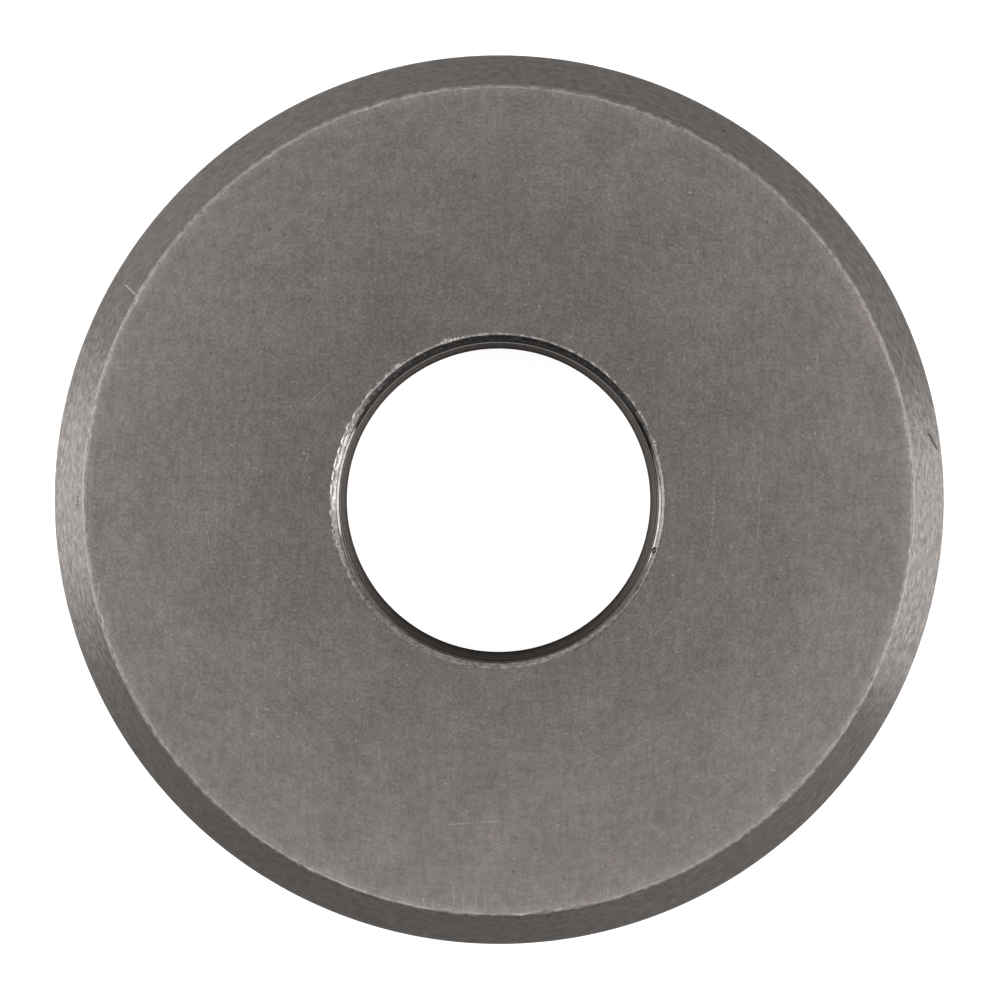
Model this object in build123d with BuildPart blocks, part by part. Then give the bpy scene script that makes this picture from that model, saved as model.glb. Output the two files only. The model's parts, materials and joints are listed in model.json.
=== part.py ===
from build123d import *

import math
import os

# A plain ring-shaped cutting wheel, ground all over from one piece of cemented carbide.
# Its rim is bevelled from both sides to one sharp edge, and its bore takes an axle pin.
# Lengths are in millimetres and angles in degrees.
# The ring lies on its back face. The origin is the centre of the edge's circle there,
# and +Z runs along the bore, out of the front face.

# Ring
edge_diameter = 22.0  # across the sharp cutting edge
thickness = 2.0  # from the back face to the front face
edge_angle = 90.0  # between the two bevels, at the cutting edge
corner_radius = 0.08  # where each face turns into its bevel, a little rubbed

# Bore
bore_diameter = 7.7
mouth_angle = 90.0  # included angle of the cone that breaks each mouth of the bore
back_mouth_width = 0.05  # radial width of the broken edge at the back, a mere touch
front_mouth_width = 0.17  # the same at the front, as a mean round the mouth

# The front mouth was broken by a cone set off the bore's axis, so it is wide on one side
front_mouth_offset = 0.05  # from the bore's axis to the cone's axis
front_mouth_heading = 105.0  # direction of that offset, from +X towards +Y

# Sizes that follow
edge_radius = edge_diameter / 2
edge_height = thickness / 2
bevel_run = edge_height / math.tan(math.radians(edge_angle / 2))
face_radius = edge_radius - bevel_run
bore_radius = bore_diameter / 2
mouth_slope = math.tan(math.radians(mouth_angle / 2))
back_mouth_depth = back_mouth_width / mouth_slope
front_cone_x = front_mouth_offset * math.cos(math.radians(front_mouth_heading))
front_cone_y = front_mouth_offset * math.sin(math.radians(front_mouth_heading))
front_cone_top_radius = bore_radius + front_mouth_width
# The cone reaches down twice as far as its widest side does, so it ends inside the bore
front_cone_run = 2 * (front_mouth_width + front_mouth_offset)
front_cone_depth = front_cone_run / mouth_slope

with BuildPart() as cutting_ring:
    # Half section, from the bore's wall out to the cutting edge
    with BuildSketch(Plane.XZ) as section:
        with BuildLine():
            Polyline(
                (bore_radius, thickness),
                (bore_radius, back_mouth_depth),
                (bore_radius + back_mouth_width, 0),
                (face_radius, 0),
                (edge_radius, edge_height),
                (face_radius, thickness),
                close=True,
            )
        make_face()
        face_corners = section.vertices().group_by(Axis.X)[-2]
        fillet(face_corners, radius=corner_radius)
    revolve(axis=Axis.Z)

    # Broken edge of the front mouth
    with Locations((front_cone_x, front_cone_y, thickness)):
        Cone(
            bottom_radius=front_cone_top_radius - front_cone_run,
            top_radius=front_cone_top_radius,
            height=front_cone_depth,
            align=(Align.CENTER, Align.CENTER, Align.MAX),
            mode=Mode.SUBTRACT,
        )

cutting_ring.part.label = "cutting_ring"
os.makedirs("parts", exist_ok=True)
export_step(cutting_ring.part, "parts/cutting_ring.step")
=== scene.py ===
import json
import math
import random

import bpy
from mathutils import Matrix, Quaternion, Vector, noise


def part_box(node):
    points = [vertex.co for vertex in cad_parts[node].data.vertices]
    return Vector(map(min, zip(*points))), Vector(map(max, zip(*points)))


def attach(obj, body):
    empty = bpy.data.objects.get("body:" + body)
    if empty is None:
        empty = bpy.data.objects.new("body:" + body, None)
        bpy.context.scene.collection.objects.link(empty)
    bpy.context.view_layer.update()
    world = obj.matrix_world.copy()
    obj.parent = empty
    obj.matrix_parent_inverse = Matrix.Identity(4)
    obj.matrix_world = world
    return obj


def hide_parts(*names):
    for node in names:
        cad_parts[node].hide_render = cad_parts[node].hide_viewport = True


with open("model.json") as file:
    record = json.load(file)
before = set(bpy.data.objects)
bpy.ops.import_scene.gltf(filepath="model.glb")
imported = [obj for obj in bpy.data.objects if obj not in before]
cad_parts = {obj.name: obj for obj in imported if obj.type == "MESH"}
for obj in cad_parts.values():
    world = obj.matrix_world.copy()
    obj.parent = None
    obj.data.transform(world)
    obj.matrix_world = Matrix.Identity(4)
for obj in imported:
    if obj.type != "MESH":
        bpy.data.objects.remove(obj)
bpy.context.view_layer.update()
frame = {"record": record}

MM = 0.001

# Sizes of the ring in millimetres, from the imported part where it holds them
box_low, box_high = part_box("cutting_ring")
mounts = {mount["name"]: mount for mount in frame["record"]["mounts"]}
THICKNESS = (box_high.z - box_low.z) / MM
EDGE_RADIUS = min(box_high.x, box_high.y, -box_low.x, -box_low.y) / MM
FACE_RADIUS = EDGE_RADIUS - THICKNESS / 2
BORE_RADIUS = mounts["axle_bore"]["dims"]["r_mm"]

# The cone that breaks the front mouth of the bore stands a little off its axis
MOUTH_WIDTH = 0.158
MOUTH_OFFSET = 0.055
MOUTH_HEADING = math.radians(130)
BACK_MOUTH_WIDTH = 0.05

# The polished lip along the foot of that cone, a little flatter than the cone, and the fine
# groove between the two. Both shrink where the mouth is narrower than this.
LIP = Vector((0.076, 0.067))
GROOVE = Vector((0.010, 0.016))
FULL_LIP_MOUTH = 0.15

# On the -Y side the lip thins out: past this sine of the azimuth, at this rate, down to this share
LIP_THINS_BELOW = -0.45
LIP_THINNING = 1.4
LEAST_LIP = 0.5

# The front face's rim circle and the bore stand off the axis too, by about 0.02 mm
FACE_OFFSET = Vector((-0.018, 0.012, 0))
BORE_OFFSET = Vector((-0.018, 0.010, 0))

# The lip's foot stands this much inside the bore's wall on the -X side and on the +X side, and
# the lip is wider and taller there by this share of it
LIP_OVERHANG_LEFT = 0.030
LIP_OVERHANG_RIGHT = 0.012
LIP_GROWTH = 0.35

# Rounding of each corner, as the length it takes from either side
WALL_ROUNDING = 0.055
RIM_ROUNDING = 0.028
CORNER_ROUNDING = 0.050
EDGE_ROUNDING = 0.004

# Where the front face starts to turn at its rim is uneven: waves as (about how many to a
# radian, height), and swellings as (heading, half width in degrees, height)
WEAR_WAVES = [(6, 0.015), (34, 0.020)]
WEAR_SWELLINGS = [
    (-87.0, 1.0, 0.040),
    (-83.5, 0.8, -0.050),
    (-79.0, 1.2, -0.040),
    (135.0, 1.0, -0.050),
    (-26.0, 1.5, -0.040),
]
LEAST_WEAR = 0.01

# Columns of the mesh round the ring, and the shares of the front face's width that get close rows
# next to the mouth and next to the rim
AZIMUTHS = 1200
CLOSE_AT_MOUTH = 0.03
CLOSE_AT_RIM = 0.025
SHARP_ANGLE = math.radians(32)


# Mesh of the ring

def mouth_rim(azimuth):
    """Distance from the bore's axis to the outer edge of the broken front mouth."""
    turn = azimuth - MOUTH_HEADING
    along = MOUTH_OFFSET * math.cos(turn)
    across = MOUTH_OFFSET * math.sin(turn)
    return along + math.sqrt((BORE_RADIUS + MOUTH_WIDTH) ** 2 - across ** 2)


def bore_wall(azimuth):
    """Distance from the bore's axis to its wall."""
    return BORE_RADIUS + BORE_OFFSET.dot(Vector((math.cos(azimuth), math.sin(azimuth), 0)))


def lip_overhang(azimuth):
    """How far the lip stands inside the bore's wall: nothing at +Y and -Y."""
    across = math.cos(azimuth)
    return across * across * (LIP_OVERHANG_RIGHT if across > 0 else LIP_OVERHANG_LEFT)


def face_rim(azimuth):
    """Distance from the bore's axis to where the front face meets its bevel."""
    return FACE_RADIUS + FACE_OFFSET.dot(Vector((math.cos(azimuth), math.sin(azimuth), 0)))


def corner_wear(azimuth):
    """How far from that corner the front face starts to turn, a little uneven."""
    out = Vector((math.cos(azimuth), math.sin(azimuth), 0))
    wear = CORNER_ROUNDING
    for waves, height in WEAR_WAVES:
        wear += noise.noise(out * waves) * height
    for heading, width, rise in WEAR_SWELLINGS:
        turn = (azimuth - math.radians(heading) + math.pi) % (2 * math.pi) - math.pi
        wear -= rise * math.exp(-((turn / math.radians(width)) ** 2))
    return max(LEAST_WEAR, wear)


def step(start, end, count):
    """Points from start towards end, without the last one."""
    return [start.lerp(end, i / count) for i in range(count)]


def rounded(before, corner, after, take, count, take_before=None):
    """Points round a corner, from the side that faces before to the side that faces after."""
    first = corner + (before - corner).normalized() * (take_before or take)
    last = corner + (after - corner).normalized() * take
    points = []
    for i in range(count + 1):
        t = i / count
        points.append(first * (1 - t) ** 2 + corner * 2 * t * (1 - t) + last * t * t)
    return points


def section(azimuth):
    """Outline of the ring at one azimuth, as (point, zone): up the bore, out and back under."""
    rim = mouth_rim(azimuth)
    bore = bore_wall(azimuth)
    width = rim - bore
    share = min(1, width / FULL_LIP_MOUTH)
    if math.sin(azimuth) < LIP_THINS_BELOW:
        share *= max(LEAST_LIP, 1 - LIP_THINNING * (LIP_THINS_BELOW - math.sin(azimuth)))
    top = THICKNESS
    back_foot = Vector((bore + BACK_MOUTH_WIDTH, 0))
    back_lip = Vector((bore, BACK_MOUTH_WIDTH))
    overhang = lip_overhang(azimuth)
    foot = Vector((bore - overhang, top - width))
    lip = foot + LIP * share + Vector((1, 1)) * overhang * LIP_GROWTH
    groove = lip + GROOVE * share
    mouth = Vector((rim, top))
    corner = Vector((face_rim(azimuth), top))
    edge = Vector((EDGE_RADIUS, top / 2))
    back_corner = Vector((FACE_RADIUS, 0))
    foot_arc = rounded(back_lip, foot, lip, WALL_ROUNDING * share, 6)
    rim_arc = rounded(groove, mouth, corner, RIM_ROUNDING, 5)
    corner_arc = rounded(mouth, corner, edge, CORNER_ROUNDING, 5, corner_wear(azimuth))
    edge_arc = rounded(corner, edge, back_corner, EDGE_ROUNDING, 2)
    back_arc = rounded(edge, back_corner, back_foot, CORNER_ROUNDING, 3)
    near = rim_arc[-1].lerp(corner_arc[0], CLOSE_AT_MOUTH)
    far = rim_arc[-1].lerp(corner_arc[0], 1 - CLOSE_AT_RIM)
    runs = [
        ("back_mouth", step(back_foot, back_lip, 2)),
        ("wall", step(back_lip, foot_arc[0], 7)),
        ("foot", foot_arc[:1]),
        ("lip", foot_arc[1:-1] + step(foot_arc[-1], lip, 3)),
        ("groove", step(lip, groove, 2)),
        ("mouth", step(groove, rim_arc[0], 5)),
        ("rim", rim_arc[:-1]),
        ("front_face", step(rim_arc[-1], near, 5)),
        ("front_face", step(near, far, 6)),
        ("front_face", step(far, corner_arc[0], 4)),
        ("corner", corner_arc[:-1]),
        ("bevel", step(corner_arc[-1], edge_arc[0], 12)),
        ("edge", edge_arc[:-1]),
        ("bevel", step(edge_arc[-1], back_arc[0], 8)),
        ("corner", back_arc[:-1]),
        ("back_face", step(back_arc[-1], back_foot, 5)),
    ]
    return [(point, zone) for zone, points in runs for point in points]


# Chips and nicks. Each is cut by an ellipsoid that stands over the surface.

class Chip:
    """A dent at (azimuth, radius), with its half sizes along the rim, along the radius and down."""

    def __init__(self, azimuth, radius, along, across, depth):
        angle = math.radians(azimuth)
        self.out = Vector((math.cos(angle), math.sin(angle)))
        self.side = Vector((-self.out.y, self.out.x))
        self.centre = self.out * radius
        self.along = along
        self.across = across
        self.depth = depth
        self.reach = max(along, across)

    def floor(self, x, y, surface):
        """Height of the dent's floor over (x, y), or None outside it."""
        offset = Vector((x, y)) - self.centre
        if abs(offset.x) > self.reach or abs(offset.y) > self.reach:
            return None
        u = offset.dot(self.side) / self.along
        v = offset.dot(self.out) / self.across
        room = 1 - u * u - v * v
        if room <= 0:
            return None
        return surface - self.depth * math.sqrt(room)


# Larger chips along the front mouth, where the photo shows them: azimuth, distance outside the
# rim, half length along it, half width, depth
LARGE_MOUTH_CHIPS = [
    (107.5, 0.02, 0.1100, 0.060, 0.036),
    (104.6, 0.01, 0.0495, 0.048, 0.030),
    (109.0, 0.01, 0.0660, 0.054, 0.030),
    (126.5, 0.02, 0.0990, 0.048, 0.030),
    (131.0, 0.00, 0.0770, 0.042, 0.027),
    (135.0, 0.01, 0.0550, 0.048, 0.027),
    (139.5, 0.00, 0.1430, 0.036, 0.024),
    (148.5, -0.01, 0.0990, 0.042, 0.027),
    (153.0, -0.01, 0.1100, 0.048, 0.030),
    (157.5, -0.03, 0.1540, 0.054, 0.036),
    (161.5, -0.03, 0.1210, 0.054, 0.036),
    (166.0, -0.03, 0.1650, 0.054, 0.036),
    (170.5, -0.03, 0.1430, 0.054, 0.036),
    (175.5, -0.03, 0.1650, 0.054, 0.036),
    (183.5, 0.00, 0.0880, 0.042, 0.027),
    (96.0, 0.00, 0.0660, 0.036, 0.021),
    (65.0, 0.00, 0.0660, 0.042, 0.021),
    (61.5, 0.00, 0.0550, 0.036, 0.018),
    (56.0, 0.00, 0.0495, 0.036, 0.018),
    (50.5, 0.00, 0.0550, 0.036, 0.021),
    (37.0, 0.00, 0.0495, 0.036, 0.018),
]

# A scatter of small ones on the side where the mouth is crumbled
SMALL_MOUTH_CHIPS = 70
CRUMBLED_FROM, CRUMBLED_TO = 15, 195
SMALLEST_CHIP, LARGEST_CHIP = 0.015, 0.04

# Nicks where the front face turns into its bevel
CORNER_NICKS = 60
SMALLEST_NICK, LARGEST_NICK = 0.02, 0.05

# Dents in the lip: azimuth, distance outside the bore's wall, half length, half width, depth
LIP_DENTS = [
    (-17.0, 0.02, 0.09, 0.09, 0.12),
    (-20.0, 0.02, 0.05, 0.05, 0.05),
    (171.0, 0.05, 0.03, 0.05, 0.05),
    (213.0, 0.03, 0.05, 0.05, 0.06),
]


def mouth_chips():
    """Chips along the front mouth: the larger ones, and a scatter of small ones."""
    chips = [
        Chip(azimuth, mouth_rim(math.radians(azimuth)) + out, along, across, depth)
        for azimuth, out, along, across, depth in LARGE_MOUTH_CHIPS
    ]
    draw = random.Random(11)
    for _ in range(SMALL_MOUTH_CHIPS):
        azimuth = draw.uniform(CRUMBLED_FROM, CRUMBLED_TO)
        size = draw.uniform(SMALLEST_CHIP, LARGEST_CHIP)
        radius = mouth_rim(math.radians(azimuth)) + draw.uniform(-0.01, 0.015)
        chips.append(Chip(azimuth, radius, size * draw.uniform(1, 2), size, size * 0.5))
    return chips


def corner_nicks():
    """Nicks all round the front face's rim, longer than they are wide."""
    draw = random.Random(23)
    nicks = []
    for _ in range(CORNER_NICKS):
        azimuth = draw.uniform(0, 360)
        size = draw.uniform(SMALLEST_NICK, LARGEST_NICK)
        radius = FACE_RADIUS + draw.uniform(-0.02, 0.02)
        nicks.append(Chip(azimuth, radius, size * draw.uniform(1, 2.5), size, size * 0.3))
    return nicks


def lip_dents():
    """Dents in the lip between the bore's wall and the broken front mouth."""
    return [
        Chip(azimuth, BORE_RADIUS + out, along, across, depth)
        for azimuth, out, along, across, depth in LIP_DENTS
    ]


def cut_chips(chips, points, columns, rows, zones, allowed):
    """Lowers the points that a chip covers, and returns the indices of those it moved."""
    moved = set()
    for chip in chips:
        azimuth = math.atan2(chip.out.y, chip.out.x)
        middle = round(azimuth / (2 * math.pi) * columns)
        span = math.ceil(chip.reach / chip.centre.length / (2 * math.pi) * columns) + 1
        for column in range(middle - span, middle + span + 1):
            for row in range(rows):
                if zones[row] not in allowed:
                    continue
                index = column % columns * rows + row
                point = points[index]
                if point.z < THICKNESS / 2:
                    continue
                floor = chip.floor(point.x, point.y, THICKNESS)
                if floor is not None and floor < point.z:
                    point.z = floor
                    moved.add(index)
    return moved


# A face of the mesh shows freshly broken carbide when this many of its corners lie in a chip
FRESH_CORNERS = 3

MATERIAL_OF_ZONE = {
    "front_face": "face",
    "back_face": "face",
    "bevel": "bevel",
    "edge": "bevel",
    "corner": "rubbed",
    "rim": "rim",
    "mouth": "mouth",
    "groove": "mouth",
    "back_mouth": "mouth",
    "lip": "lip",
    "foot": "wall",
    "wall": "wall",
}


def build_ring(materials):
    """The whole ring as one closed mesh in millimetres, turned into metres at the end."""
    outline = section(0)
    rows = len(outline)
    zones = [zone for _, zone in outline]
    points = []
    for column in range(AZIMUTHS):
        azimuth = 2 * math.pi * column / AZIMUTHS
        across, up = math.cos(azimuth), math.sin(azimuth)
        for point, _ in section(azimuth):
            points.append(Vector((point.x * across, point.x * up, point.y)))
    mouth_zones = ("lip", "groove", "mouth", "rim", "front_face")
    chipped = cut_chips(mouth_chips(), points, AZIMUTHS, rows, zones, mouth_zones)
    corner_zones = ("front_face", "corner", "bevel")
    cut_chips(corner_nicks(), points, AZIMUTHS, rows, zones, corner_zones)
    lip_zones = ("wall", "foot", "lip", "groove", "mouth")
    cut_chips(lip_dents(), points, AZIMUTHS, rows, zones, lip_zones)

    faces = []
    slots = []
    names = list(materials)
    for column in range(AZIMUTHS):
        here = column * rows
        there = (column + 1) % AZIMUTHS * rows
        for row in range(rows):
            above = (row + 1) % rows
            corners = (here + row, there + row, there + above, here + above)
            faces.append(corners)
            name = MATERIAL_OF_ZONE[zones[row]]
            if sum(corner in chipped for corner in corners) >= FRESH_CORNERS:
                name = "fresh"
            slots.append(names.index(name))
    mesh = bpy.data.meshes.new("cutting_wheel")
    mesh.from_pydata([point * MM for point in points], [], faces)
    for material in materials.values():
        mesh.materials.append(material)
    mesh.polygons.foreach_set("material_index", slots)
    mesh.polygons.foreach_set("use_smooth", [True] * len(faces))
    mesh.set_sharp_from_angle(angle=SHARP_ANGLE)
    mesh.update()
    wheel = bpy.data.objects.new("cutting_wheel", mesh)
    bpy.context.scene.collection.objects.link(wheel)
    return wheel


# Materials

# Nearly all of a noise's values lie between these
NOISE_LOW, NOISE_HIGH = 0.3, 0.7


class Nodes:
    """A node tree, with short ways to add sums, noise and ramps."""

    def __init__(self, tree):
        self.tree = tree

    def node(self, kind):
        return self.tree.nodes.new(kind)

    def join(self, source, target):
        self.tree.links.new(source, target)

    def feed(self, socket, source):
        if isinstance(source, bpy.types.NodeSocket):
            self.join(source, socket)
        else:
            socket.default_value = source

    def value(self, operation, first, second=0.0):
        node = self.node("ShaderNodeMath")
        node.operation = operation
        self.feed(node.inputs[0], first)
        self.feed(node.inputs[1], second)
        return node.outputs[0]

    def vector(self, operation, first, second, output="Vector"):
        node = self.node("ShaderNodeVectorMath")
        node.operation = operation
        self.feed(node.inputs[0], first)
        self.feed(node.inputs[1], second)
        return node.outputs[output]

    def split(self, source):
        node = self.node("ShaderNodeSeparateXYZ")
        self.join(source, node.inputs[0])
        return node.outputs

    def noise(self, where, scale, detail=2.0, roughness=0.5):
        node = self.node("ShaderNodeTexNoise")
        self.feed(node.inputs["Vector"], where)
        node.inputs["Scale"].default_value = scale
        node.inputs["Detail"].default_value = detail
        node.inputs["Roughness"].default_value = roughness
        return node.outputs["Fac"]

    def ramp(self, source, low, high, to_low=0.0, to_high=1.0):
        """A smooth step from to_low to to_high as the source runs from low to high."""
        node = self.node("ShaderNodeMapRange")
        node.interpolation_type = "SMOOTHSTEP"
        self.feed(node.inputs["Value"], source)
        node.inputs["From Min"].default_value = low
        node.inputs["From Max"].default_value = high
        node.inputs["To Min"].default_value = to_low
        node.inputs["To Max"].default_value = to_high
        return node.outputs["Result"]

    def vary(self, source, least, most):
        """A noise stretched to run from least to most."""
        return self.ramp(source, NOISE_LOW, NOISE_HIGH, least, most)

    def mix(self, share, first, second):
        node = self.node("ShaderNodeMix")
        node.data_type = "RGBA"
        sockets = [socket for socket in node.inputs if socket.enabled]
        self.feed(sockets[0], share)
        self.feed(sockets[1], first)
        self.feed(sockets[2], second)
        return next(socket for socket in node.outputs if socket.enabled)


class Shader(Nodes):
    """A material's nodes, with the ring's own coordinates in millimetres."""

    def __init__(self, name):
        self.material = bpy.data.materials.new(name)
        self.material.use_nodes = True
        super().__init__(self.material.node_tree)
        self.surface = self.tree.nodes["Principled BSDF"]
        where = self.node("ShaderNodeTexCoord").outputs["Object"]
        self.place = self.vector("MULTIPLY", where, (1 / MM, 1 / MM, 1 / MM))
        x, y, self.z = self.split(self.place)
        self.flat = self.vector("MULTIPLY", self.place, (1, 1, 0))
        self.radius = self.vector("LENGTH", self.flat, (0, 0, 0), "Value")
        # The cosine and the sine of the place's azimuth
        self.across = self.value("DIVIDE", x, self.radius)
        self.up = self.value("DIVIDE", y, self.radius)
        # Distance from the middle of the front face's rim circle
        self.rim_radius = self.vector("DISTANCE", self.flat, tuple(FACE_OFFSET), "Value")
        # 1 on the front half and 0 on the back half, so that marks stay on the front
        self.front = self.ramp(self.z, 0.95 * THICKNESS / 2, 1.05 * THICKNESS / 2)

    def facing(self, heading):
        """1 where the place's heading from the axis is this one, and its cosine elsewhere."""
        angle = math.radians(heading)
        part = self.value("MULTIPLY", self.across, math.cos(angle))
        return self.value("ADD", part, self.value("MULTIPLY", self.up, math.sin(angle)))

    def rings(self, per_mm, arc, detail=2.0):
        """Noise drawn out along the circles round the bore, per_mm lines to a millimetre."""
        node = self.node("ShaderNodeCombineXYZ")
        self.join(self.value("MULTIPLY", self.radius, per_mm), node.inputs[0])
        self.join(self.value("MULTIPLY", self.across, arc), node.inputs[1])
        self.join(self.value("MULTIPLY", self.up, arc), node.inputs[2])
        return self.noise(node.outputs[0], 1.0, detail)

    def scaled(self, colour, factor):
        """A colour made lighter or darker by a factor that varies."""
        node = self.node("ShaderNodeVectorMath")
        node.operation = "SCALE"
        self.feed(node.inputs[0], colour[:3] if isinstance(colour, tuple) else colour)
        self.feed(node.inputs["Scale"], factor)
        return node.outputs["Vector"]

    def bump(self, height, distance, below=None):
        node = self.node("ShaderNodeBump")
        node.inputs["Strength"].default_value = 1.0
        node.inputs["Distance"].default_value = distance * MM
        self.join(height, node.inputs["Height"])
        if below is not None:
            self.join(below, node.inputs["Normal"])
        return node.outputs["Normal"]

    def within(self, away, half):
        """1 on a scratch's line, falling to 0 a little beyond its half width."""
        return self.ramp(away, half * 0.3, half * 1.4, 1.0, 0.0)

    def on_front(self, masks):
        """The greatest of the masks, on the front half only."""
        most = masks[0]
        for mask in masks[1:]:
            most = self.value("MAXIMUM", most, mask)
        return self.value("MULTIPLY", most, self.front)

    def spots(self, marks):
        """1 inside any of the round marks (x, y, radius) and 0 outside them."""
        inside = []
        for x, y, radius in marks:
            away = self.vector("DISTANCE", self.flat, (x, y, 0), "Value")
            inside.append(self.ramp(away, radius * 0.4, radius * 1.3, 1.0, 0.0))
        return self.on_front(inside)

    def scratches(self, marks):
        """1 along any of the straight scratches (x, y, to x, to y, half width)."""
        inside = []
        for x, y, to_x, to_y, half in marks:
            run = Vector((to_x - x, to_y - y, 0))
            offset = self.vector("SUBTRACT", self.flat, (x, y, 0))
            along = self.vector("DOT_PRODUCT", offset, run / run.length_squared, "Value")
            along = self.value("MAXIMUM", self.value("MINIMUM", along, 1.0), 0.0)
            foot = self.scaled(tuple(run), along)
            away = self.vector("DISTANCE", offset, foot, "Value")
            inside.append(self.within(away, half))
        return self.on_front(inside)

    def arcs(self, marks):
        """1 along any of the arcs round the bore (radius, heading, half sweep, half width); they carry
        the face's painted highlights.
        """
        inside = []
        for radius, heading, sweep, half in marks:
            end = math.cos(math.radians(sweep))
            along = self.ramp(self.facing(heading), end, (1 + end) / 2)
            away = self.value("ABSOLUTE", self.value("SUBTRACT", self.radius, radius))
            inside.append(self.value("MULTIPLY", self.within(away, half), along))
        return self.on_front(inside)


def tone(level, warmth=1.0):
    """The carbide's warm grey at that level."""
    return (level * (1 + 0.09 * warmth), level, level * (1 - 0.055 * warmth), 1.0)


def metal(shader, colour, roughness, normal=None):
    surface = shader.surface
    surface.inputs["Metallic"].default_value = 1.0
    shader.feed(surface.inputs["Base Color"], colour)
    shader.feed(surface.inputs["Roughness"], roughness)
    if normal is not None:
        shader.join(normal, surface.inputs["Normal"])


# Marks on the front face, in millimetres from the bore's axis. Dark pits and light specks are
# (x, y, radius), light scratches (x, y, to x, to y, half width), and arcs round the bore on the
# -X and +X sides, painted highlights where the side lamps catch the lapping lines (radius,
# heading in degrees, half sweep, half width).
FACE_PITS = [
    (-5.50, 6.56, 0.045), (-5.53, 7.97, 0.040), (-6.92, 3.60, 0.035), (-0.58, 7.80, 0.030),
    (2.71, 4.03, 0.030), (6.41, 6.72, 0.040), (6.67, -1.82, 0.035), (4.51, -2.33, 0.030),
    (-4.11, -3.55, 0.030), (-2.35, 2.05, 0.025), (0.34, -8.90, 0.040), (0.89, -8.35, 0.035),
]
FACE_SPECKS = [
    (-5.00, 2.33, 0.030), (-4.83, 4.35, 0.030), (1.73, 3.99, 0.030), (4.44, 3.43, 0.035),
    (1.97, -5.52, 0.035), (8.28, -5.38, 0.035), (7.68, -6.39, 0.030), (6.55, -7.54, 0.035),
    (4.80, -8.72, 0.030), (-6.08, -8.02, 0.030), (4.46, -1.97, 0.040), (4.18, -1.73, 0.035),
    (9.05, 0.60, 0.030), (7.59, 1.66, 0.030), (-2.64, -3.15, 0.030), (-3.00, -2.79, 0.030),
    (-0.99, -4.20, 0.030), (-1.22, -4.44, 0.030), (-6.46, -5.31, 0.035), (-7.06, -6.10, 0.030),
    (-5.33, -5.62, 0.030), (-3.24, -7.09, 0.030), (-4.69, 1.20, 0.030), (-2.86, 2.52, 0.030),
]
FACE_SCRATCHES = [
    (0.02, 9.85, 0.02, 9.55, 0.014), (-2.29, -9.40, -2.31, -9.75, 0.016),
    (-1.62, -9.62, -1.60, -9.82, 0.014), (-1.30, -7.76, -0.02, -7.66, 0.012),
    (-1.10, -9.40, -1.10, -9.80, 0.014), (-9.62, -1.95, -9.66, -2.35, 0.035),
    (-4.62, 2.35, -4.20, 2.74, 0.010), (-7.3, -4.7, -7.2, -4.3, 0.012),
    (-1.84, -9.54, -1.79, -9.88, 0.024), (-0.86, -9.45, -0.86, -9.85, 0.012),
    (-0.57, -9.50, -0.57, -9.90, 0.012), (-0.34, -9.40, -0.34, -9.90, 0.012),
    (2.62, -9.30, 2.62, -9.58, 0.014),
]
FACE_GLINT_ARCS = [
    (5.15, -1.0, 8.5, 0.020), (5.16, -12.0, 4.0, 0.016), (6.25, -4.5, 10.0, 0.014),
    (6.60, -19.0, 5.0, 0.012), (4.75, 172.0, 9.0, 0.014), (7.95, 12.0, 7.0, 0.010),
    (7.05, 187.0, 6.0, 0.010), (4.9, -36.0, 5.0, 0.010),
]

# Distances from the middle of the front face's rim circle: the face gets a painted highlight
# between the first two, for its slight rounding there, is worn beyond the second two, and its
# rounded corner is worn up to the third two
FACE_PAINTED_HIGHLIGHT = (9.66, 9.93)
FACE_WORN = (9.89, 9.96)
CORNER_WORN = (9.965, 10.01)

# The two tints that the face's mottling runs between
FACE_GREENISH = (0.177, 0.168, 0.156, 1.0)
FACE_REDDISH = (0.186, 0.165, 0.160, 1.0)


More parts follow.
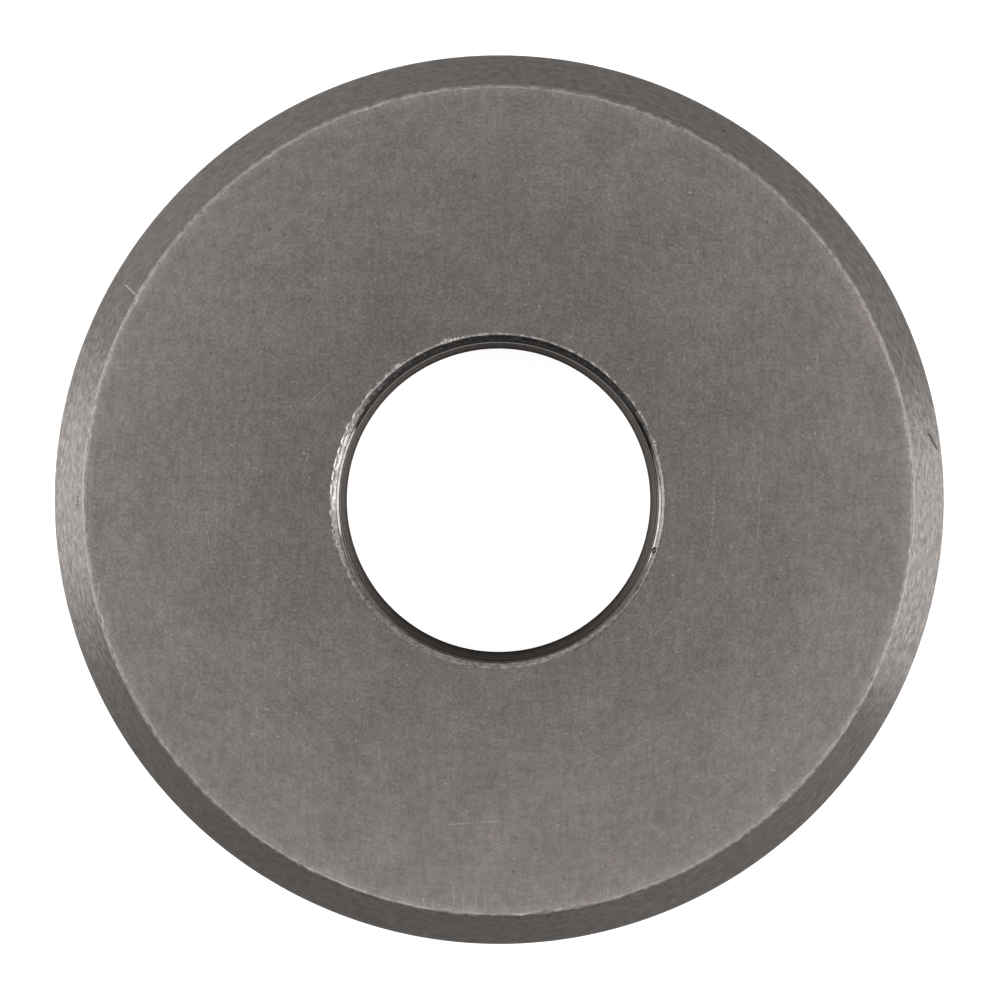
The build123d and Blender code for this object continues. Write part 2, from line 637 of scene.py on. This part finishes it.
def face_material():
    """Lapped flat: fine mottled grain, with faint lines round the bore, pits and scratches."""
    shader = Shader("carbide_lapped_face")
    clouds = shader.noise(shader.place, 0.8, 3.0, 0.6)
    patches = shader.noise(shader.place, 4.0, 2.0)
    strokes = shader.noise(shader.vector("MULTIPLY", shader.place, (9.0, 1.4, 1.0)), 1.0, 2.0)
    # The offsets added below keep these noises from falling on the others
    tints = shader.noise(shader.vector("ADD", shader.place, (31, 7, 3)), 1.5, 4.0, 0.6)
    grain = shader.noise(shader.place, 15.0, 3.0, 0.6)
    dots = shader.noise(shader.vector("ADD", shader.place, (5, 23, 0)), 6.0, 2.0, 0.6)
    lines = shader.rings(11.0, 16.0, 3.0)
    colour = shader.mix(shader.ramp(tints, 0.35, 0.65), FACE_GREENISH, FACE_REDDISH)
    colour = shader.scaled(colour, shader.vary(clouds, 0.93, 1.07))
    colour = shader.scaled(colour, shader.vary(patches, 0.93, 1.07))
    colour = shader.scaled(colour, shader.vary(strokes, 0.95, 1.05))
    colour = shader.scaled(colour, shader.vary(grain, 0.90, 1.10))
    colour = shader.scaled(colour, shader.vary(lines, 0.96, 1.04))
    colour = shader.scaled(colour, shader.ramp(shader.radius, 3.5, 10.5, 0.93, 1.07))
    # Painted highlight towards the face's rim, standing in for the light its slight rounding catches
    colour = shader.scaled(colour, shader.ramp(shader.rim_radius, *FACE_PAINTED_HIGHLIGHT, 1.0, 1.17))
    worn = shader.ramp(shader.rim_radius, *FACE_WORN)
    worn = shader.value("MULTIPLY", worn, shader.ramp(patches, 0.3, 0.6, 0.15, 0.6))
    colour = shader.scaled(colour, shader.value("ADD", 1.0, worn))
    pits = shader.value("MAXIMUM", shader.spots(FACE_PITS), shader.ramp(dots, 0.26, 0.34, 0.55, 0.0))
    colour = shader.scaled(colour, shader.ramp(pits, 0.0, 1.0, 1.0, 0.6))
    shine = shader.value("MAXIMUM", shader.spots(FACE_SPECKS), shader.scratches(FACE_SCRATCHES))
    shine = shader.value("MAXIMUM", shine, shader.ramp(dots, 0.65, 0.74, 0.0, 0.7))
    # Arcs round the bore on the -X and +X sides: painted highlights of the lapping lines
    arcs = shader.value("MULTIPLY", shader.arcs(FACE_GLINT_ARCS), shader.ramp(tints, 0.35, 0.6, 0.1, 0.8))
    shine = shader.value("MAXIMUM", shine, arcs)
    shine = shader.value("MULTIPLY", shine, shader.ramp(grain, 0.4, 0.55, 0.2, 1.0))
    colour = shader.mix(shine, colour, tone(0.29, 0.6))
    rough = shader.vary(grain, 0.38, 0.44)
    normal = shader.bump(lines, 0.0016)
    normal = shader.bump(grain, 0.0006, normal)
    metal(shader, colour, rough, normal)
    return shader.material


# Marks on the front bevel, given in the same way; the nick is dark and the scratch is light
BEVEL_SCRATCHES = [(-9.08, 5.28, -8.76, 5.02, 0.020)]
BEVEL_NICKS = [(10.52, 1.66, 10.76, 1.33, 0.040)]
BEVEL_PITS = [
    (5.45, 9.03, 0.050), (10.15, 1.72, 0.035), (10.16, 0.92, 0.040), (10.17, 1.00, 0.030),
    (0.45, -10.04, 0.060), (1.20, -9.98, 0.050), (-10.17, 0.13, 0.050), (-10.17, 0.04, 0.055),
    (-10.175, -0.06, 0.050), (-10.10, -1.02, 0.025), (-10.02, -1.86, 0.030),
]


def bevel_material():
    """Ground round the rim, so it shines in a fan across the grinding lines.

    On the -X side and the +X side, where the side lamps light the bevel, the lines get extra streaks in
    the colour: painted glints.
    """
    shader = Shader("carbide_ground_bevel")
    fine = shader.rings(13.0, 42.0, 3.0)
    grain = shader.noise(shader.place, 11.0, 4.0, 0.65)
    dots = shader.noise(shader.vector("ADD", shader.place, (17, 3, 0)), 8.0, 2.0, 0.6)
    colour = shader.scaled(tone(0.106, 1.1), shader.vary(fine, 0.84, 1.16))
    colour = shader.scaled(colour, shader.vary(grain, 0.88, 1.12))
    # Painted glints: streaks along the grinding lines, painted only on the sides the side lamps light
    lamp_lit_sides = shader.ramp(shader.value("ABSOLUTE", shader.across), 0.80, 0.95)
    painted_glint_streaks = shader.vary(shader.rings(16.0, 60.0, 3.0), -0.19, 0.17)
    painted_glint_streaks = shader.value("MULTIPLY", painted_glint_streaks, lamp_lit_sides)
    colour = shader.scaled(colour, shader.value("ADD", 1.0, painted_glint_streaks))
    colour = shader.scaled(colour, shader.ramp(dots, 0.62, 0.74, 1.0, 1.35))
    colour = shader.scaled(colour, shader.ramp(dots, 0.27, 0.40, 0.78, 1.0))
    pits = shader.spots(BEVEL_PITS)
    colour = shader.scaled(colour, shader.ramp(pits, 0.0, 1.0, 1.0, 0.5))
    marks = shader.scratches(BEVEL_SCRATCHES)
    colour = shader.mix(marks, colour, tone(0.26, 0.6))
    marks = shader.scratches(BEVEL_NICKS)
    colour = shader.mix(marks, colour, tone(0.03))
    rough = shader.vary(grain, 0.34, 0.46)
    normal = shader.bump(fine, 0.0026)
    normal = shader.bump(grain, 0.0030, normal)
    metal(shader, colour, rough, normal)
    shader.surface.inputs["Anisotropic"].default_value = 1.0
    shader.surface.inputs["Anisotropic Rotation"].default_value = 0.25
    tangent = shader.node("ShaderNodeTangent")
    tangent.direction_type = "RADIAL"
    tangent.axis = "Z"
    shader.join(tangent.outputs[0], shader.surface.inputs["Tangent"])
    return shader.material


def plain_material(name, level, roughness, grain_scale, grain_depth, worn=1.0):
    """One grey with a grain in its colour, polish and relief.

    Where it meets the front face's rim it is worn times as light.
    """
    shader = Shader(name)
    grain = shader.noise(shader.place, grain_scale, 3.0)
    colour = shader.scaled(tone(level, 0.7), shader.vary(grain, 0.7, 1.3))
    colour = shader.scaled(colour, shader.ramp(shader.rim_radius, *CORNER_WORN, worn, 1.0))
    rough = shader.vary(grain, roughness * 0.85, roughness * 1.15)
    metal(shader, colour, rough, shader.bump(grain, grain_depth))
    return shader.material


# Headings of the freshly broken part of the mouth and the darker part of its lip, in degrees
MOUTH_BROKEN_HEADING = 164.0
LIP_DARK_HEADING = 19.0


def mouth_material():
    """Broken edge of the front mouth: dark, with painted light lifting it at -Y, and lighter where it
    is freshly broken.
    """
    shader = Shader("carbide_broken_mouth")
    grain = shader.noise(shader.place, 11.0, 3.0)
    specks = shader.noise(shader.place, 5.0, 3.0, 0.6)
    colour = shader.scaled(tone(0.062, 0.7), shader.vary(grain, 0.62, 1.38))
    # Painted light: the mouth is lighter towards -Y
    colour = shader.scaled(colour, shader.ramp(shader.up, -0.95, -0.5, 2.3, 1.0))
    broken = shader.ramp(shader.facing(MOUTH_BROKEN_HEADING), 0.93, 0.975)
    fresh = shader.value("MULTIPLY", broken, shader.ramp(specks, 0.35, 0.6, 0.1, 1.1))
    colour = shader.scaled(colour, shader.value("ADD", 1.0, fresh))
    rough = shader.vary(grain, 0.29, 0.39)
    metal(shader, colour, rough, shader.bump(grain, 0.004))
    return shader.material


def lip_material():
    """Lip polished smooth, with painted shade at -Y, and darker on a short stretch of the +X side."""
    shader = Shader("carbide_polished_lip")
    grain = shader.noise(shader.place, 6.0, 3.0)
    colour = shader.scaled(tone(0.085, 0.7), shader.vary(grain, 0.85, 1.15))
    # Painted shade: the lip is darker towards -Y
    colour = shader.scaled(colour, shader.ramp(shader.up, -0.95, -0.5, 0.4, 1.0))
    colour = shader.scaled(colour, shader.ramp(shader.facing(LIP_DARK_HEADING), 0.957, 0.985, 1.0, 0.3))
    rough = shader.vary(grain, 0.10, 0.14)
    metal(shader, colour, rough, shader.bump(grain, 0.0004))
    return shader.material


def rim_material():
    """Crumbled rim of the front mouth, with painted light: lighter at +Y, painted shade on the -Y half
    and towards +X, lifted again at the very -Y.
    """
    shader = Shader("carbide_mouth_rim")
    grain = shader.noise(shader.place, 9.0, 3.0)
    colour = shader.scaled(tone(0.165, 0.7), shader.vary(grain, 0.65, 1.35))
    # Painted highlight at +Y, painted shade on the -Y half and towards +X, lifted again at the very -Y
    colour = shader.scaled(colour, shader.ramp(shader.up, 0.5, 0.95, 1.0, 1.45))
    colour = shader.scaled(colour, shader.ramp(shader.up, -0.8, 0.0, 0.72, 0.95))
    colour = shader.scaled(colour, shader.ramp(shader.up, -1.0, -0.82, 1.45, 1.0))
    colour = shader.scaled(colour, shader.ramp(shader.across, 0.2, 0.8, 1.0, 0.72))
    rough = shader.vary(grain, 0.39, 0.53)
    metal(shader, colour, rough, shader.bump(grain, 0.0015))
    return shader.material


# Heights between which the bore's wall gets a painted shade band under the lip
WALL_PAINTED_SHADE = (1.50, 1.65)


def wall_material():
    """The bore's wall, dark as it was sintered, with painted shade at -Y, at the back and under the
    lip.
    """
    shader = Shader("carbide_sintered_wall")
    grain = shader.noise(shader.place, 12.0, 3.0)
    colour = shader.scaled((0.075, 0.065, 0.060), shader.vary(grain, 0.75, 1.25))
    # Painted shade: darker towards -Y, towards the back and in a band under the lip
    colour = shader.scaled(colour, shader.ramp(shader.up, -0.9, 0.0, 0.55, 1.0))
    colour = shader.scaled(colour, shader.ramp(shader.z, 0.0, 1.0, 0.6, 1.0))
    colour = shader.scaled(colour, shader.ramp(shader.z, *WALL_PAINTED_SHADE, 1.0, 0.55))
    metal(shader, colour, 0.9, shader.bump(grain, 0.002))
    shader.surface.inputs["Metallic"].default_value = 0.0
    shader.surface.inputs["Specular IOR Level"].default_value = 0.0
    return shader.material


def ring_materials():
    return {
        "face": face_material(),
        "bevel": bevel_material(),
        "rubbed": plain_material("carbide_rubbed_corner", 0.095, 0.50, 6.0, 0.0010, 1.8),
        "rim": rim_material(),
        "mouth": mouth_material(),
        "lip": lip_material(),
        "wall": wall_material(),
        "fresh": plain_material("carbide_fresh_chip", 0.28, 0.42, 25.0, 0.003),
    }


# Setting

# Grey of the floor, the light it adds where the camera or a shiny surface sees it, and half its
# width in metres
FLOOR_COLOUR = 0.4
FLOOR_LIFT = 0.78
FLOOR_HALF = 1.5


def floor_material():
    """Pale floor, lifted to white where the camera or a shiny surface sees it."""
    material = bpy.data.materials.new("floor")
    material.use_nodes = True
    nodes = Nodes(material.node_tree)
    paint = material.node_tree.nodes["Principled BSDF"]
    paint.inputs["Base Color"].default_value = (FLOOR_COLOUR, FLOOR_COLOUR, FLOOR_COLOUR, 1.0)
    paint.inputs["Roughness"].default_value = 0.9
    paint.inputs["Specular IOR Level"].default_value = 0.0
    paint.inputs["Emission Color"].default_value = (1.0, 1.0, 1.0, 1.0)
    path = nodes.node("ShaderNodeLightPath")
    seen = path.outputs["Is Camera Ray"]
    for other in ("Is Glossy Ray", "Is Transmission Ray"):
        seen = nodes.value("MAXIMUM", seen, path.outputs[other])
    nodes.join(nodes.value("MULTIPLY", seen, FLOOR_LIFT), paint.inputs["Emission Strength"])
    material.cycles.emission_sampling = "NONE"
    return material


def make_floor():
    half = FLOOR_HALF
    mesh = bpy.data.meshes.new("floor")
    corners = [(-half, -half, 0), (half, -half, 0), (half, half, 0), (-half, half, 0)]
    mesh.from_pydata(corners, [], [(0, 1, 2, 3)])
    mesh.materials.append(floor_material())
    floor = bpy.data.objects.new("floor", mesh)
    bpy.context.scene.collection.objects.link(floor)


# The studio has three bands, by the sine of the elevation: a low one, a middle one and the part
# overhead. Each gives way to the next between these two sines.
LOW_TO_MIDDLE = (0.20, 0.32)
MIDDLE_TO_OVERHEAD = (0.68, 0.84)

# Brightness overhead, by the sine of the elevation, up to the zenith
OVERHEAD = [(0.0, 1.05), (0.86, 1.05), (0.94, 0.76), (0.985, 0.32), (1.0, 0.16)]

# Soft boxes: name, azimuth and elevation in degrees, distance, width and height in metres,
# radiance, and how far the top is turned towards its right in degrees
LAMPS = [
    ("left_soft_box", 181, 17, 0.25, 0.145, 0.14, 7.2, 32),
    ("right_soft_box", -8, 17, 0.25, 0.160, 0.14, 7.3, 10),
    ("near_soft_box", -90, 60, 0.30, 0.16, 0.10, 1.3, 0),
]

# The camera stands this far from the back face's middle, in millimetres, and tilts a little
CAMERA_PLACE = Vector((0.006, 0.943, 36.0))
CAMERA_TILT = math.radians(-0.906)
CAMERA_LENS = 50.97
CAMERA_SHIFT = (0.0005, -0.0139)


def make_world():
    """A plain studio, darker on the near side (-Y), brightest at both sides, dim straight above."""
    world = bpy.data.worlds.new("studio")
    bpy.context.scene.world = world
    world.use_nodes = True
    nodes = Nodes(world.node_tree)
    back = world.node_tree.nodes["Background"]
    way = nodes.node("ShaderNodeTexCoord").outputs["Generated"]
    x, y, z = nodes.split(way)
    level = nodes.vector("LENGTH", nodes.vector("MULTIPLY", way, (1, 1, 0)), (0, 0, 0), "Value")
    side = nodes.value("DIVIDE", x, level)
    depth = nodes.value("DIVIDE", y, level)

    # The low band is dim on the near side. The middle one has light from the far side, from both
    # sides, and a little more from the far left and the near right.
    low = nodes.ramp(depth, -0.4, 0.2, 0.30, 1.75)
    both_sides = nodes.value("MULTIPLY", nodes.value("POWER", nodes.value("ABSOLUTE", side), 4.0), 2.7)
    slant = nodes.value("MULTIPLY", nodes.value("MULTIPLY", side, depth), -2.4)
    middle = nodes.value("ADD", nodes.ramp(depth, -0.6, 0.4, 0.08, 0.85), both_sides)
    middle = nodes.value("ADD", middle, nodes.value("MAXIMUM", slant, 0.0))
    overhead = nodes.node("ShaderNodeValToRGB")
    nodes.join(z, overhead.inputs["Fac"])
    elements = overhead.color_ramp.elements
    while len(elements) < len(OVERHEAD):
        elements.new(0.5)
    for element, (height, brightness) in zip(elements, OVERHEAD):
        element.position = height
        element.color = (brightness, brightness, brightness, 1.0)

    upper = nodes.mix(nodes.ramp(z, *MIDDLE_TO_OVERHEAD), middle, overhead.outputs["Color"])
    nodes.join(nodes.mix(nodes.ramp(z, *LOW_TO_MIDDLE), low, upper), back.inputs["Color"])
    back.inputs["Strength"].default_value = 1.0


def make_lamp(name, azimuth, elevation, distance, width, height, radiance, roll):
    """A soft box of that radiance that faces the ring and isn't seen by the camera."""
    lamp = bpy.data.lights.new(name, "AREA")
    lamp.shape = "RECTANGLE"
    lamp.size = width
    lamp.size_y = height
    lamp.energy = radiance * math.pi * width * height
    holder = bpy.data.objects.new(name, lamp)
    a, e = math.radians(azimuth), math.radians(elevation)
    out = Vector((math.cos(a) * math.cos(e), math.sin(a) * math.cos(e), math.sin(e)))
    holder.location = out * distance
    holder.rotation_mode = "QUATERNION"
    turn = Quaternion((0, 0, 1), math.radians(-roll))
    holder.rotation_quaternion = out.to_track_quat("Z", "Y") @ turn
    holder.visible_camera = False
    bpy.context.scene.collection.objects.link(holder)


def make_camera():
    """Almost straight above, a little towards +Y, where the photo's view down the bore puts it."""
    camera = bpy.data.cameras.new("camera")
    camera.sensor_width = 36
    camera.lens = CAMERA_LENS
    camera.shift_x, camera.shift_y = CAMERA_SHIFT
    camera.clip_start = 0.001
    camera.clip_end = 10
    holder = bpy.data.objects.new("camera", camera)
    holder.location = CAMERA_PLACE * MM
    holder.rotation_euler = (CAMERA_TILT, 0, 0)
    bpy.context.scene.collection.objects.link(holder)
    bpy.context.scene.camera = holder


make_camera()
wheel = build_ring(ring_materials())
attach(wheel, "root")
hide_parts("cutting_ring")
make_floor()
make_world()
for lamp in LAMPS:
    make_lamp(*lamp)
bpy.context.scene.view_settings.view_transform = "Standard"

print("triangles", sum(len(p.vertices) - 2 for p in wheel.data.polygons))
